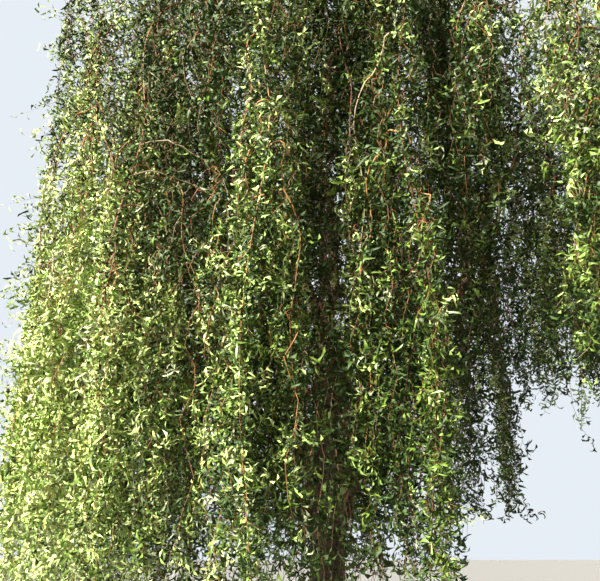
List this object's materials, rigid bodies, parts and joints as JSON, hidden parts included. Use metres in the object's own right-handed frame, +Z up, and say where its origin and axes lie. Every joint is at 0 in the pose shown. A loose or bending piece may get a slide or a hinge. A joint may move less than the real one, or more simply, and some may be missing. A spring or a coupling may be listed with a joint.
{
  "type": "weeping corkscrew willow tree",
  "caption": "Whole weeping corkscrew willow in leaf: flared trunk, contorted boughs, and curtains of curled leaves on twisting twigs hanging round the space under them.",
  "frame": {"origin": "middle of the flat cut under the trunk, at ground level", "axes": "+Z up along the trunk, -Y towards the picture's camera, +X to the right seen from there"},
  "size_m": [5.4551, 5.2053, 6.9476],
  "materials": {
    "bark": "grey-brown furrowed bark, matte",
    "bough_bark": "smoother olive-brown bark, matte",
    "foliage": "curled yellow-green to mid green leaves, greyer below, on orange-brown twigs"
  },
  "bodies": {
    "root": {"trunk": "bark", "bough_1": "bough_bark", "bough_2": "bough_bark", "bough_3": "bough_bark", "bough_4": "bough_bark", "bough_5": "bough_bark", "bough_6": "bough_bark", "bough_7": "bough_bark", "bough_8": "bough_bark", "leader_1": "bough_bark", "leader_2": "bough_bark", "leader_3": "bough_bark", "curtain_1a": "foliage", "curtain_1b": "foliage", "curtain_2a": "foliage", "curtain_2b": "foliage", "curtain_3a": "foliage", "curtain_3b": "foliage", "curtain_4a": "foliage", "curtain_4b": "foliage", "curtain_5a": "foliage", "curtain_5b": "foliage", "curtain_6a": "foliage", "curtain_6b": "foliage", "curtain_7a": "foliage", "curtain_7b": "foliage", "curtain_8a": "foliage", "curtain_8b": "foliage", "shoulder_1": "foliage", "shoulder_2": "foliage", "shoulder_3": "foliage", "shoulder_4": "foliage", "shoulder_5": "foliage", "shoulder_6": "foliage", "shoulder_7": "foliage", "shoulder_8": "foliage", "top_1": "foliage", "top_2": "foliage", "top_3": "foliage", "fall_1a": "foliage", "fall_1b": "foliage", "fall_2a": "foliage", "fall_2b": "foliage", "fall_3a": "foliage", "fall_3b": "foliage"}
  },
  "joints": []
}
